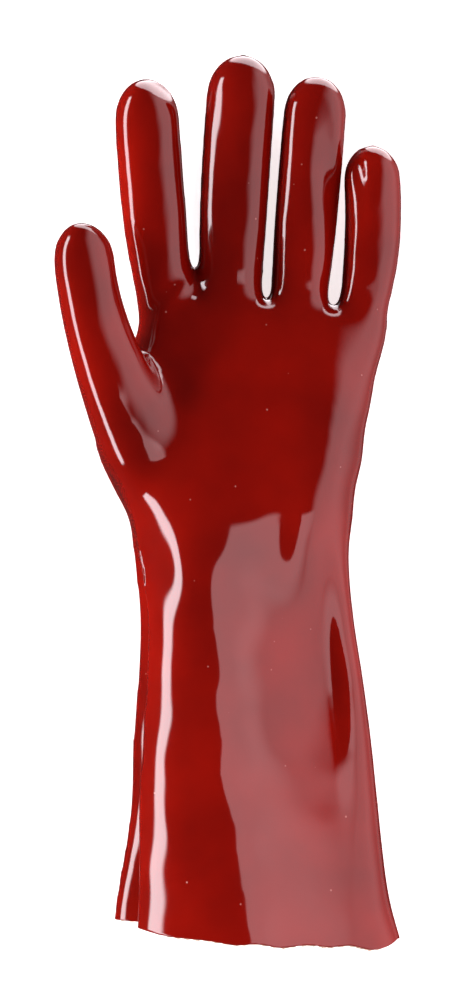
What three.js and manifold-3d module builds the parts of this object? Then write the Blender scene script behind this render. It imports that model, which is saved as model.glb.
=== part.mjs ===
import * as THREE from "three";
import Module from "manifold-3d";

// A long cuffed, dipped work glove for the left hand, lying on its back with the palm up.
// Millimetres. +Y runs from the cut hem to the fingertips, +X to the little finger, +Z out of the palm.
// Lengths in the tables are shares of the named sizes, so the glove follows when a size changes.

// Lengths
const cuffLength = 150;
const handLength = 102;
const fingerLength = 92;
const thumbLength = 83;

// Widths, seen from the palm side
const hemWidth = 114;
const wristWidth = 85.8;
const palmWidth = 103;
const fingerWidth = 27.6;
const thumbWidth = 24.8;

// Depths, from the back of the hand to the palm side
const hemDepth = 60;
const wristDepth = 47;
const palmDepth = 47;
const fingerDepth = 23.5;
const thumbDepth = 26;

// The pleat down the thumb side of the cuff: how far the wall tucks in, and how far its back edge stands out
const pleatDepth = 17;
const pleatLap = 5.5;

// The raw cut hem: lower on the little finger side, and wavy
const hemSlant = 9;
const hemWave = 0.9;

// How much lower the little finger's root lies than the index finger's
const rootSlope = 5;

// Walls
const coatWall = 1.1;
const liningGap = 0.3;
const liningWall = 0.8;

// Facets
const bodySides = 36;
const digitSides = 12;

// How round a section is: 2 is an ellipse, more is boxier
const bodyRoundness = 2.35;
const digitRoundness = 2.2;

// Share of a section's half depth below its middle: the rest is pressed flat where the glove lies
const flatCut = 0.84;

// The pleat's place in a section, from -1 at the bottom to 1 at the top: where the tuck is deepest, how tall
// it is, and between which heights the front edge steps back
const tuckHeight = 0.08;
const tuckSpread = 0.2;
const lapBottom = -0.12;
const lapTop = 0.3;

// More facets go to the thumb side of a section, where the pleat is: 0 spreads them evenly
const facetCrowding = 0.42;

// Waves of the cut hem: how many go round the cuff, their height as a share of hemWave, and where they start
const hemWaves = [
  { count: 5, height: 1, start: 4.3 },
  { count: 9, height: 0.6, start: 0 },
];

// Sections of the cuff, from the hem to the wrist, and of the hand, from the wrist to the finger roots.
// at: share of that part's length; left, right and depth: shares of the width and depth named in "by";
// lift: share of the depth; tuck and lap: shares of the pleat's two sizes.
const widths = { hem: hemWidth, wrist: wristWidth, palm: palmWidth };
const depths = { hem: hemDepth, wrist: wristDepth, palm: palmDepth };
const cuffRows = [
  { at: 0, by: "hem", left: -0.463, right: 0.539, depth: 1, lift: 0, tuck: 1, lap: 1 },
  { at: 0.115, by: "hem", left: -0.442, right: 0.501, depth: 0.97, lift: 0, tuck: 0.95, lap: 0.8 },
  { at: 0.219, by: "hem", left: -0.419, right: 0.481, depth: 0.94, lift: 0, tuck: 0.8, lap: 0.45 },
  { at: 0.349, by: "hem", left: -0.398, right: 0.463, depth: 0.9, lift: 0, tuck: 0.6, lap: 0.15 },
  { at: 0.505, by: "wrist", left: -0.52, right: 0.587, depth: 1.1, lift: 0, tuck: 0.55, lap: 0.35 },
  { at: 0.661, by: "wrist", left: -0.497, right: 0.551, depth: 1.05, lift: 0, tuck: 0.45, lap: 0.32 },
  { at: 0.818, by: "wrist", left: -0.487, right: 0.509, depth: 1.02, lift: 0, tuck: 0.4, lap: 0.33 },
  { at: 0.922, by: "wrist", left: -0.501, right: 0.491, depth: 1, lift: 0, tuck: 0.3, lap: 0.25 },
];
const handRows = [
  { at: 0, by: "wrist", left: -0.515, right: 0.487, depth: 1, lift: 0, tuck: 0.2, lap: 0.15 },
  { at: 0.115, by: "wrist", left: -0.533, right: 0.504, depth: 1, lift: 0, tuck: 0.12, lap: 0.05 },
  { at: 0.231, by: "palm", left: -0.503, right: 0.431, depth: 1, lift: 0, tuck: 0.15, lap: 0.15 },
  { at: 0.346, by: "palm", left: -0.557, right: 0.458, depth: 1, lift: 0, tuck: 0.15, lap: 0.25 },
  { at: 0.462, by: "palm", left: -0.579, right: 0.469, depth: 0.98, lift: 0, tuck: 0.1, lap: 0.2 },
  { at: 0.577, by: "palm", left: -0.54, right: 0.492, depth: 0.94, lift: 0, tuck: 0, lap: 0.05 },
  { at: 0.692, by: "palm", left: -0.479, right: 0.509, depth: 0.87, lift: 0, tuck: 0, lap: 0 },
  { at: 0.808, by: "palm", left: -0.415, right: 0.54, depth: 0.77, lift: 0, tuck: 0, lap: 0 },
  { at: 0.875, by: "palm", left: -0.398, right: 0.556, depth: 0.67, lift: 0.02, tuck: 0, lap: 0 },
  { at: 0.925, by: "palm", left: -0.392, right: 0.562, depth: 0.57, lift: 0.08, tuck: 0, lap: 0 },
  { at: 0.965, by: "palm", left: -0.375, right: 0.545, depth: 0.42, lift: 0.26, tuck: 0, lap: 0 },
];

// Hollows and swells of the palm side. x, y: place as shares of the palm width and the hand length;
// across, along: half widths as shares of the same; turn: degrees; depth: share of the palm depth, minus
// for a swell.
const palmDents = [
  { name: "palm hollow", x: 0.1, y: 0.62, across: 0.2, along: 0.26, turn: -15, depth: 0.13 },
  { name: "finger root pads", x: 0.12, y: 0.92, across: 0.4, along: 0.1, turn: 0, depth: -0.06 },
  { name: "index root ridge", x: -0.27, y: 0.84, across: 0.05, along: 0.13, turn: -35, depth: -0.08 },
  { name: "hand edge pad", x: 0.36, y: 0.4, across: 0.1, along: 0.3, turn: 5, depth: -0.05 },
  { name: "thumb pad", x: -0.3, y: 0.28, across: 0.14, along: 0.22, turn: 25, depth: -0.07 },
  { name: "wrist hollow", x: 0.02, y: 0.06, across: 0.2, along: 0.14, turn: 0, depth: 0.06 },
  { name: "cuff side dent", x: 0.33, y: -0.52, across: 0.07, along: 0.34, turn: 8, depth: 0.07 },
];

// Digits. x: root's place, share of the palm width; root: web's height, share of the hand length;
// long, wide, deep: shares of the digit's named length, width and depth; lean and bow: sideways run and
// bend, shares of its length; z: height of its middle at the root, share of the palm depth; rise and curl:
// upward run and bend, shares of its length; back: how far it starts inside the hand, share of its length;
// flare: how much wider it is at the root; taper: how much narrower at the tip.
const sizesOf = {
  finger: { length: fingerLength, width: fingerWidth, depth: fingerDepth },
  thumb: { length: thumbLength, width: thumbWidth, depth: thumbDepth },
};
const digitRows = [
  {
    name: "thumb", by: "thumb", x: -0.373, root: 0.423, long: 1, wide: 1, deep: 1,
    lean: -0.556, bow: 0.27, z: 0.62, rise: 0.42, curl: -0.27, back: 0.26, flare: 0.5, taper: 0.05,
  },
  {
    name: "index", by: "finger", x: -0.303, root: 1, long: 0.898, wide: 1.01, deep: 1,
    lean: -0.135, bow: 0.052, z: 0.33, rise: 0.02, curl: 0.06, back: 0.3, flare: 0, taper: 0.1,
  },
  {
    name: "middle", by: "finger", x: -0.046, root: 1, long: 1, wide: 1.04, deep: 1,
    lean: 0.03, bow: 0.03, z: 0.34, rise: 0.02, curl: 0.06, back: 0.28, flare: 0, taper: 0.06,
  },
  {
    name: "ring", by: "finger", x: 0.218, root: 0.973, long: 0.94, wide: 0.97, deep: 0.96,
    lean: 0.087, bow: -0.004, z: 0.33, rise: 0.02, curl: 0.07, back: 0.28, flare: 0, taper: 0.08,
  },
  {
    name: "little", by: "finger", x: 0.46, root: 0.946, long: 0.676, wide: 0.86, deep: 0.88,
    lean: 0.195, bow: -0.17, z: 0.31, rise: 0.03, curl: 0.08, back: 0.34, flare: 0, taper: 0.06,
  },
];

// Rings along a digit: shares of the way to where its tip starts, then degrees round the tip. The rounded
// tip is tipLength times as long as the digit is wide
const shaftSteps = [0, 0.33, 0.67, 1];
const tipAngles = [28, 52, 72];
const tipLength = 0.56;

const wasm = await Module();
wasm.setup();

function smoothStep(low, high, value) {
  const t = THREE.MathUtils.clamp((value - low) / (high - low), 0, 1);
  return t * t * (3 - 2 * t);
}

function bell(value) {
  return Math.exp(-value * value);
}

// A point of the unit superellipse at an angle
function roundedPoint(angle, roundness) {
  const cos = Math.cos(angle);
  const sin = Math.sin(angle);
  const power = 2 / roundness;
  return [Math.sign(cos) * Math.abs(cos) ** power, Math.sign(sin) * Math.abs(sin) ** power];
}

// A table row of the cuff or hand turned into millimetres
function sectionFrom(row, y) {
  const width = widths[row.by];
  const depth = depths[row.by] * row.depth;
  return {
    y,
    left: width * row.left,
    right: width * row.right,
    depth,
    lift: depth * row.lift,
    tuck: pleatDepth * row.tuck,
    lap: pleatLap * row.lap,
  };
}

function bodySections() {
  const cuff = cuffRows.map((row) => sectionFrom(row, cuffLength * row.at));
  const hand = handRows.map((row) => sectionFrom(row, cuffLength + handLength * row.at));
  return [...cuff, ...hand];
}

// How deep the palm side is dented at a place
function dentAt(x, y) {
  let depth = 0;
  for (const dent of palmDents) {
    const turn = THREE.MathUtils.degToRad(dent.turn);
    const dx = x - dent.x * palmWidth;
    const dy = y - cuffLength - dent.y * handLength;
    const across = (dx * Math.cos(turn) + dy * Math.sin(turn)) / (dent.across * palmWidth);
    const along = (dy * Math.cos(turn) - dx * Math.sin(turn)) / (dent.along * handLength);
    depth += dent.depth * palmDepth * bell(across) * bell(along);
  }
  return depth;
}

// How far the cut hem lies above its mean line at a place round the cuff
function hemRise(u, angle) {
  const waves = hemWaves.map((wave) => wave.height * Math.sin(wave.count * angle + wave.start));
  return (-hemSlant * u) / 2 + hemWave * waves.reduce((sum, wave) => sum + wave, 0);
}

// One section of cuff or hand: a rounded outline pressed flat below, tucked in on the thumb side. u and v
// run from -1 to 1 across and up the section, and along is the section's share of the way to the fingers.
function bodyRing(section, along) {
  const middle = (section.left + section.right) / 2;
  const halfWidth = (section.right - section.left) / 2;
  const halfDepth = section.depth / (1 + flatCut);
  const points = [];
  for (let i = 0; i < bodySides; i++) {
    const even = (i / bodySides) * Math.PI * 2;
    const angle = even + facetCrowding * Math.sin(even);
    const [u, v] = roundedPoint(angle, bodyRoundness);
    const onThumbSide = smoothStep(0.1, 0.75, -u);
    const onTop = smoothStep(0.3, 0.8, v) * (1 - smoothStep(0.9, 1, along));
    const lap = section.lap * smoothStep(lapBottom, lapTop, v);
    const tuck = section.tuck * bell((v - tuckHeight) / tuckSpread);
    const rootDrop = rootSlope * smoothStep(-0.4, 0.9, u) * smoothStep(0.75, 1, along);
    const x = middle + halfWidth * u + onThumbSide * (lap + tuck);
    const y = section.y - rootDrop + (along === 0 ? hemRise(u, angle) : 0);
    const z = section.lift + Math.max(0, halfDepth * (flatCut + v) - onTop * dentAt(x, y));
    points.push(new THREE.Vector3(x, y, z));
  }
  return points;
}

function bodyGrid() {
  const sections = bodySections();
  return sections.map((section, j) => bodyRing(section, j / (sections.length - 1)));
}

// Middle line of a digit at a share of its length
function digitPoint(row, t) {
  const length = sizesOf[row.by].length * row.long;
  return new THREE.Vector3(
    row.x * palmWidth + length * (row.lean * t + row.bow * t * t),
    cuffLength + row.root * handLength + length * t,
    row.z * palmDepth + length * (row.rise * t + row.curl * t * t),
  );
}

function digitRing(row, t, shrink) {
  const middle = digitPoint(row, t);
  const tangent = digitPoint(row, t + 0.01).sub(digitPoint(row, t - 0.01)).normalize();
  const side = new THREE.Vector3().crossVectors(tangent, new THREE.Vector3(0, 0, 1)).normalize();
  const up = new THREE.Vector3().crossVectors(side, tangent);
  const size = sizesOf[row.by];
  const outward = Math.max(0, t);
  const swell = (1 + row.flare * (1 - outward) ** 3 - row.taper * outward) * shrink;
  const points = [];
  for (let i = 0; i < digitSides; i++) {
    const [u, v] = roundedPoint((i / digitSides) * Math.PI * 2, digitRoundness);
    points.push(
      middle.clone()
        .addScaledVector(side, (u * size.width * row.wide * swell) / 2)
        .addScaledVector(up, (v * size.depth * row.deep * swell) / 2),
    );
  }
  return points;
}

function digitGrid(row) {
  const size = sizesOf[row.by];
  const tipShare = (tipLength * size.width * row.wide) / (size.length * row.long);
  const shaftEnd = 1 - tipShare;
  const rings = shaftSteps.map((step) => digitRing(row, -row.back + (shaftEnd + row.back) * step, 1));
  for (const degrees of tipAngles) {
    const angle = THREE.MathUtils.degToRad(degrees);
    rings.push(digitRing(row, shaftEnd + tipShare * Math.sin(angle), Math.cos(angle)));
  }
  rings.push(digitRing(row, 1, 0));
  return rings;
}

function centreOf(ring) {
  return ring.reduce((sum, point) => sum.addScaledVector(point, 1 / ring.length), new THREE.Vector3());
}

// Every point moved inwards, square to the surface, by the depth. A digit's closed root end moves inwards
// too, and so does the hand's finger end; the hem's ring stays in its own plane.
function insetGrid(grid, depth, isDigit) {
  const last = grid.length - 1;
  const sides = grid[0].length;
  return grid.map((ring, j) => ring.map((point, i) => {
    const around = ring[(i + 1) % sides].clone().sub(ring[(i + sides - 1) % sides]);
    const along = grid[Math.min(j + 1, last)][i].clone().sub(grid[Math.max(j - 1, 0)][i]);
    const normal = along.cross(around).normalize();
    if (j === last && isDigit) {
      normal.copy(point).sub(centreOf(grid[last - 1])).normalize();
    } else if (j === last) {
      normal.setY(0).normalize().setY(1);
    } else if (j === 0) {
      normal.setY(0).normalize().setY(isDigit ? -1 : 0);
    }
    return point.clone().addScaledVector(normal, -depth);
  }));
}

// The vertices and side triangles of a tube through the rings, open at both ends
function tubeThrough(grid) {
  const sides = grid[0].length;
  const vertices = [];
  const triangles = [];
  for (const ring of grid) {
    for (const point of ring) vertices.push(point.x, point.y, point.z);
  }
  const at = (i, j) => j * sides + (i % sides);
  for (let j = 0; j + 1 < grid.length; j++) {
    for (let i = 0; i < sides; i++) {
      triangles.push(at(i, j), at(i, j + 1), at(i + 1, j));
      triangles.push(at(i + 1, j), at(i, j + 1), at(i + 1, j + 1));
    }
  }
  return { vertices, triangles, sides, at };
}

// Closes one end of the tube with a fan of triangles to a hub
function closeEnd(tube, ringIndex, hub, facesForward) {
  const hubIndex = tube.vertices.length / 3;
  tube.vertices.push(hub.x, hub.y, hub.z);
  for (let i = 0; i < tube.sides; i++) {
    const pair = [tube.at(i, ringIndex), tube.at(i + 1, ringIndex)];
    tube.triangles.push(hubIndex, ...(facesForward ? pair.reverse() : pair));
  }
}

// The solid through the rings, its ends closed at their middles or at a given tip
function solidThrough(grid, tip) {
  const last = grid.length - 1;
  const tube = tubeThrough(grid);
  closeEnd(tube, 0, centreOf(grid[0]), false);
  closeEnd(tube, last, tip ?? centreOf(grid[last]), true);
  return new wasm.Manifold(new wasm.Mesh({
    numProp: 3,
    vertProperties: new Float32Array(tube.vertices),
    triVerts: new Uint32Array(tube.triangles),
  }));
}

// Cuff and hand with the walls moved inwards by the depth; overrun lengthens it past the hem
function bodySolid(depth, overrun) {
  const grid = insetGrid(bodyGrid(), depth, false);
  const pastHem = grid[0].map((point) => point.clone().setY(point.y - overrun));
  return solidThrough(overrun > 0 ? [pastHem, ...grid] : grid);
}

// A digit with its walls moved inwards by the depth. Its grid's last ring is its tip
function digitSolid(row, depth) {
  const grid = insetGrid(digitGrid(row), depth, true);
  const tip = grid.pop()[0];
  return solidThrough(grid, tip);
}

// The whole glove form with its walls moved inwards by the depth; overrun lengthens it past the hem
function gloveForm(depth, overrun) {
  return digitRows.reduce((form, row) => form.add(digitSolid(row, depth)), bodySolid(depth, overrun));
}

// A skin between two depths below the glove's surface, open at the hem
function skin(outerDepth, thickness) {
  const pastHem = hemSlant + 2 * hemWave;
  return gloveForm(outerDepth, 0).subtract(gloveForm(outerDepth + thickness, pastHem));
}

function meshOf(solid, name, material) {
  const { vertProperties, triVerts } = solid.getMesh();
  const geometry = new THREE.BufferGeometry();
  geometry.setAttribute("position", new THREE.BufferAttribute(vertProperties, 3));
  geometry.setIndex(new THREE.BufferAttribute(triVerts, 1));
  const mesh = new THREE.Mesh(geometry, material);
  mesh.name = name;
  return mesh;
}

// The dipped skin: glossy deep red PVC
function pvcCoating() {
  const gloss = new THREE.MeshStandardMaterial({ color: 0x8c120c, roughness: 0.12, metalness: 0 });
  return meshOf(skin(0, coatWall), "pvc_coating", gloss);
}

// The knitted liner inside it, cut off with it at the hem
function cottonLining() {
  const knit = new THREE.MeshStandardMaterial({ color: 0xe6dac6, roughness: 0.95, metalness: 0 });
  return meshOf(skin(coatWall + liningGap, liningWall), "cotton_lining", knit);
}

const glove = new THREE.Group();
glove.add(pvcCoating(), cottonLining());

// The origin lies under the middle of the outline, on the surface that the glove lies on
const extent = new THREE.Box3().setFromObject(glove);
const middle = extent.getCenter(new THREE.Vector3());
glove.position.set(-middle.x, -middle.y, -extent.min.z);

export default glove;
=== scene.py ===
"""A long cuffed, dipped PVC work glove for the left hand, lying on its back with the palm up.

The glove's form is a rounded profile carried along the cuff and hand, with five tapering tubes for the
digits, welded together and smoothed, most where they meet. The red skin and the knitted liner are both shells
taken from that one form. Shape functions work in millimetres and glove coordinates: y = 0 at the cut hem,
+Y to the fingertips, +X to the little finger, +Z out of the palm.
"""

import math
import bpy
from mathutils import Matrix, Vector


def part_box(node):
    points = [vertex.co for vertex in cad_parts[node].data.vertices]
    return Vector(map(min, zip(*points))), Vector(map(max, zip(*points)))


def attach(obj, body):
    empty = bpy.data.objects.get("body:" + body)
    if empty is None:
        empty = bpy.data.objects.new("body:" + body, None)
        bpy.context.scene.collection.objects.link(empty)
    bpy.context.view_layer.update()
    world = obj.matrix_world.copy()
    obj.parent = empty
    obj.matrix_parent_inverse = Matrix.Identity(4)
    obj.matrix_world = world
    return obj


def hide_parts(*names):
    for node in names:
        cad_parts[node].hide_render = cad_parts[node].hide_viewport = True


bl_info = {
    "name": "Dipped work glove",
    "version": (1, 0, 0),
    "blender": (4, 5, 0),
    "location": "View3D > Sidebar > Glove",
    "description": "Builds a long cuffed dipped glove with its knitted liner, on a plain lit floor",
    "category": "Object",
}

import bmesh
import bpy
import numpy as np
from bpy.props import FloatProperty, FloatVectorProperty, PointerProperty
from mathutils import Vector

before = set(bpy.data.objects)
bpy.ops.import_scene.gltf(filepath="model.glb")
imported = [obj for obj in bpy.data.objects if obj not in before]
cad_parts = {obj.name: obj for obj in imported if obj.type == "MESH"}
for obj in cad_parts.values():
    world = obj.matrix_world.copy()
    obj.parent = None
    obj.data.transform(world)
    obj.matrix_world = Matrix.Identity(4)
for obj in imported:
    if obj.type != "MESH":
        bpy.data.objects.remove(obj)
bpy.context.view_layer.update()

MM = 0.001
COATING_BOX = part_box("pvc_coating")

# Sections of the cuff and hand. at: share of that part's length; left, right and depth: shares of the width
# and depth named in "by"; lift: share of the depth; tuck and lap: shares of the pleat's two sizes; apex:
# where the top is highest, from -1 on the thumb side to 1; fall: how much it slopes from there to the right.
SECTION_COLUMNS = ("part", "at", "by", "left", "right", "depth", "lift", "tuck", "lap", "apex", "fall")
SECTIONS = (
    ("cuff", 0, "hem", -0.463, 0.539, 1, 0, 1, 1, -0.06, 0.36),
    ("cuff", 0.115, "hem", -0.442, 0.501, 0.97, 0, 0.95, 0.80, -0.11, 0.36),
    ("cuff", 0.219, "hem", -0.419, 0.481, 0.94, 0, 0.80, 0.45, -0.17, 0.36),
    ("cuff", 0.349, "hem", -0.398, 0.463, 0.90, 0, 0.60, 0.15, -0.24, 0.36),
    ("cuff", 0.505, "wrist", -0.520, 0.587, 1.10, 0, 0.55, 0.35, -0.31, 0.36),
    ("cuff", 0.661, "wrist", -0.497, 0.551, 1.05, 0, 0.45, 0.32, -0.34, 0.36),
    ("cuff", 0.818, "wrist", -0.487, 0.509, 1.02, 0, 0.40, 0.33, -0.36, 0.36),
    ("cuff", 0.922, "wrist", -0.501, 0.491, 1, 0, 0.30, 0.25, -0.36, 0.34),
    ("hand", 0, "wrist", -0.515, 0.487, 1, 0, 0.20, 0.15, -0.27, 0.30),
    ("hand", 0.115, "wrist", -0.533, 0.504, 1, 0, 0.12, 0.05, -0.06, 0.22),
    ("hand", 0.231, "palm", -0.503, 0.431, 0.965, 0, 0.15, 0.15, 0.05, 0.12),
    ("hand", 0.346, "palm", -0.557, 0.458, 0.945, 0, 0.15, 0.25, 0, 0.04),
    ("hand", 0.462, "palm", -0.579, 0.469, 0.905, 0, 0.10, 0.20, 0, 0),
    ("hand", 0.577, "palm", -0.540, 0.492, 0.855, 0, 0, 0.05, 0, 0),
    ("hand", 0.692, "palm", -0.479, 0.509, 0.780, 0, 0, 0, 0, 0),
    ("hand", 0.808, "palm", -0.415, 0.540, 0.695, 0, 0, 0, 0, 0),
    ("hand", 0.875, "palm", -0.398, 0.556, 0.625, 0.02, 0, 0, 0, 0),
    ("hand", 0.925, "palm", -0.392, 0.562, 0.55, 0.08, 0, 0, 0, 0),
    ("hand", 0.965, "palm", -0.375, 0.545, 0.42, 0.26, 0, 0, 0, 0),
)

# Digits. x, root: place of the root, shares of the palm width and hand length; long, wide, deep: shares of
# the size named in "by"; lean and bow: sideways run and bend, shares of the length; z: height of the middle
# at the root, share of the palm depth; rise and curl: upward run and bend, shares of the length; back: how
# far it starts inside the hand; flare: how much wider at the root, minus for slimmer; taper: how much
# narrower at the tip; apex and fall: as for the cuff; blunt: 2 for a round tip, more for a tip whose top
# runs further out.
DIGIT_COLUMNS = (
    "name", "by", "x", "root", "long", "wide", "deep", "lean", "bow",
    "z", "rise", "curl", "back", "flare", "taper", "apex", "fall", "blunt",
)
DIGITS = (
    ("thumb", "thumb", -0.373, 0.423, 1, 1, 1, -0.556, 0.270,
     0.62, 0.42, -0.27, 0.26, 0.50, 0.05, -0.15, 0.10, 5.0),
    ("index", "finger", -0.303, 1, 0.898, 1.01, 1, -0.135, 0.052,
     0.33, 0.02, 0.06, 0.30, -0.18, 0.10, -0.06, 0.04, 3.4),
    ("middle", "finger", -0.046, 1, 1, 1.04, 1, 0.030, 0.030,
     0.34, 0.02, 0.06, 0.28, -0.13, 0.06, 0.04, 0.02, 2.0),
    ("ring", "finger", 0.218, 0.973, 0.940, 0.97, 0.96, 0.087, -0.004,
     0.33, 0.02, 0.07, 0.28, -0.14, 0.08, -0.05, 0.04, 2.0),
    ("little", "finger", 0.466, 0.946, 0.676, 0.86, 0.88, 0.195, -0.170,
     0.31, 0.03, 0.08, 0.34, -0.14, 0.06, -0.12, 0.10, 2.0),
)

# Hollows and swells of the palm side. x, across: shares of the palm width; y, along: shares of the hand
# length; turn: degrees; depth: share of the palm depth, minus for a swell.
FORM_COLUMNS = ("name", "x", "y", "across", "along", "turn", "depth")
PALM_FORMS = (
    ("palm hollow", 0.10, 0.56, 0.22, 0.30, -15, 0.06),
    ("hand edge pad", 0.36, 0.40, 0.10, 0.30, 5, -0.05),
    ("thumb pad", -0.30, 0.28, 0.14, 0.22, 25, -0.07),
)

# Soft dents of the digits and the wrist, charted one by one. x: share of the palm width from the wrist's
# middle;
# y: share of the glove's length from the hem; left, right, along: half widths in the same shares; turn:
# degrees; depth: millimetres, minus for a swell.
DENT_COLUMNS = ("name", "x", "y", "left", "right", "along", "turn", "depth")
DENTS = (
    ("index tip dimple", -0.315, 0.966, 0.060, 0.060, 0.0130, -25, 3.0),
    ("index tip side", -0.262, 0.955, 0.045, 0.045, 0.0140, 20, 0.9),
    ("middle finger side flat", -0.105, 0.925, 0.060, 0.060, 0.0500, 4, 1.5),
    ("ring finger side hollow", 0.345, 0.850, 0.060, 0.045, 0.0750, 6, 3.4),
    ("ring finger tip flat", 0.215, 0.975, 0.050, 0.050, 0.0200, 0, 0.8),
    ("little finger dimple", 0.438, 0.875, 0.042, 0.042, 0.0320, 6, 3.0),
    ("little finger ridge", 0.475, 0.860, 0.014, 0.014, 0.0500, 4, -0.7),
    ("middle finger root swell", 0.010, 0.762, 0.090, 0.090, 0.0280, 0, -1.6),
    ("ring finger root swell", 0.270, 0.745, 0.075, 0.075, 0.0250, 8, -1.5),
    ("ring root dimple", 0.318, 0.735, 0.018, 0.018, 0.0120, 0, 1.2),
    ("index root swell", -0.330, 0.722, 0.055, 0.055, 0.0200, 0, -1.4),
    ("thumb pad end", -0.330, 0.420, 0.085, 0.085, 0.0420, 10, 4.0),
    ("wrist swell", 0.252, 0.458, 0.090, 0.080, 0.0700, -10, -3.8),
    ("cuff side dent", 0.318, 0.288, 0.200, 0.082, 0.1250, 4, 8.2),
)

# Creases and crests that run along a curve: its points in the shares of the dents' table, with the height
# above the surface, the half width of its left and of its right side, in millimetres
CREASE_COLUMNS = ("name", "height", "left", "right", "points")
CREASES = (
    ("index root crest", 2.4, 3.2, 9.0, (
        (-0.175, 0.755), (-0.195, 0.742), (-0.225, 0.730), (-0.280, 0.716), (-0.318, 0.700), (-0.345, 0.682),
        (-0.355, 0.662), (-0.355, 0.640),
    )),
)

# The cut hem seen from the palm side: place across the cuff from -1 to 1, and how far the edge lies above
# its mean line, as a share of the hem's slant
HEM_EDGE = (
    (-1.00, 0.95), (-0.80, 0.75), (-0.62, 0.35), (-0.28, 0.05), (-0.12, -0.22), (0.02, -0.14), (0.18, -0.46),
    (0.36, -0.30), (0.52, -0.52), (0.64, -0.44), (0.82, -0.86), (0.92, -0.62), (1.00, -0.10),
)

# Slow waves of the dipped skin: height in millimetres, waves per millimetre across and along, start of the
# wave in radians
WAVE_COLUMNS = ("height", "across", "along", "start")
WAVES = (
    (0.09, 0.018, 0.040, 0.4),
    (0.08, -0.030, 0.026, 1.9),
    (0.05, 0.041, 0.019, 3.1),
)

# Roundness, 2 for an ellipse and more for a boxier form: the body, its top left and right of the apex, digits
BODY_ROUNDNESS = 2.35
CROWN_LEFT, CROWN_RIGHT = 2.0, 2.6
DIGIT_ROUNDNESS = 2.2
# The fall at which the body's top is all leaning crown, and how softly the slope starts at the apex
FULL_FALL = 0.36
SLOPE_SOFTNESS = 0.004
# Heights in a section, from -1 to 1: of the flat below, the pleat's tuck and its spread, and the pleat's lap
FLAT_CUT = 0.84
TUCK_HEIGHT = 0.08
TUCK_SPREAD = 0.2
LAP_RANGE = (-0.12, 0.30)
# Ranges over which the thumb side and the top begin, the palm's hollows fade out and the root line drops
THUMB_SIDE = (0.1, 0.75)
TOP_SIDE = (0.3, 0.8)
ROOT_FADE = (0.9, 1.0)
DROP_ACROSS, DROP_ALONG = (-0.4, 0.9), (0.75, 1.0)
# A tip is this share of the digit's width long, and its rings end at this angle in degrees
TIP_LENGTH = 0.56
TIP_END = 86
# Points round the body, crowded to its sides, and round a digit; rings of a digit's shaft and tip
BODY_SIDES, SIDE_CROWDING, DIGIT_SIDES = 180, 0.3, 64
SHAFT_RINGS, TIP_RINGS = 44, 13
# Millimetres: run below the hem before the cut, spacing of rings, voxels of the weld, merge at the cut
BELOW_HEM, RING_SPACING, VOXEL, MERGED = 8.0, 2.0, 1.6, 0.12
# Smoothing in order, as rounds and the share that each moves a point: keeping the size, plain, plain at the
# roots only, keeping the size, and again after the dents
WELD_RELAX, WELD_SOFTEN, ROOT_SOFTEN = (24, 0.55), (12, 0.5), (16, 0.6)
FORM_RELAX, DENT_RELAX = (10, 0.5), (2, 0.4)
PUSHED_BACK = 1.04
# Where the roots are softened. The line of the finger roots and the thumb's crease are shares of the hand
# length and palm width; the drop's run, the spreads and the limit towards the thumb are millimetres
ROOT_LINE, ROOT_DROP, ROOT_RUN, ROOT_SPREAD, ROOT_LIMIT = 0.97, 0.05, 50, 14.0, -50
CREASE_X, CREASE_Y, CREASE_ACROSS, CREASE_ALONG = -0.31, 0.62, 18.0, 34.0
# Range of the normal's upward part over which dents and waves set in
FACING_UP = (0.0, 0.45)
# Spots along a digit's middle line and along a crease, and the shares over which a crease's ends fade
LINE_SPOTS, CREASE_SPOTS = 60, 80
CREASE_FADES = (0.2, 0.25)
# The hem: shares of its slant on the palm side and the back, the back's waves as height, radians from the
# middle to the side and start, where the palm side begins, and the millimetres of cuff that follow the edge
CHART_SHARE, BACK_SHARE = 0.55, 0.45
BACK_WAVES = ((1.0, 6.0, 1.0), (0.5, 15.0, 0.0))
PALM_SIDE = (0.35, 0.6)
HEM_REACH = 45.0
# In millimetres: how far the liner's threads hang out of the cut edge, and how far up they pull the knit
FRAY, FRAY_REACH = 0.8, 12.0
# Radius, in millimetres, that turns the angle round the cuff into a width of knit
KNIT_RADIUS = 45.0
# The fingers are fanned out while they are welded, so that close neighbours stay apart: sideways run per
# millimetre beyond the start, a share of the hand length, and the millimetres over which slopes blend
FAN_SLOPES = {"thumb": 0.0, "index": 0.0, "middle": 0.13, "ring": 0.26, "little": 0.39}
FAN_START = 1.035
FAN_BLEND = 5.0


def rows_as_dicts(columns, rows):
    """Each row of a table by its columns' names."""
    return [dict(zip(columns, row)) for row in rows]


def smooth_step(low, high, value):
    """0 up to low, 1 from high on, and three squares less two cubes of the way in between."""
    t = np.clip((value - low) / (high - low), 0.0, 1.0)
    return t * t * (3.0 - 2.0 * t)


def bell(value):
    """1 at 0, falling to either side as e to the minus square."""
    return np.exp(-np.square(value))


def curve_through(at, values, where):
    """Smooth curve through points: between two points a cubic whose end slopes are the mean slopes of the
    neighbouring stretches; outside the first and last point a straight line."""
    at, values, where = (np.asarray(numbers, float) for numbers in (at, values, where))
    slopes = np.gradient(values, at)
    i = np.clip(np.searchsorted(at, where) - 1, 0, len(at) - 2)
    width = at[i + 1] - at[i]
    t = np.clip((where - at[i]) / width, 0.0, 1.0)
    cubic = (
        values[i] * (2 * t**3 - 3 * t**2 + 1)
        + slopes[i] * width * (t**3 - 2 * t**2 + t)
        + values[i + 1] * (3 * t**2 - 2 * t**3)
        + slopes[i + 1] * width * (t**3 - t**2)
    )
    below = slopes[0] * np.minimum(where - at[0], 0.0)
    above = slopes[-1] * np.maximum(where - at[-1], 0.0)
    return cubic + below + above


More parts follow.
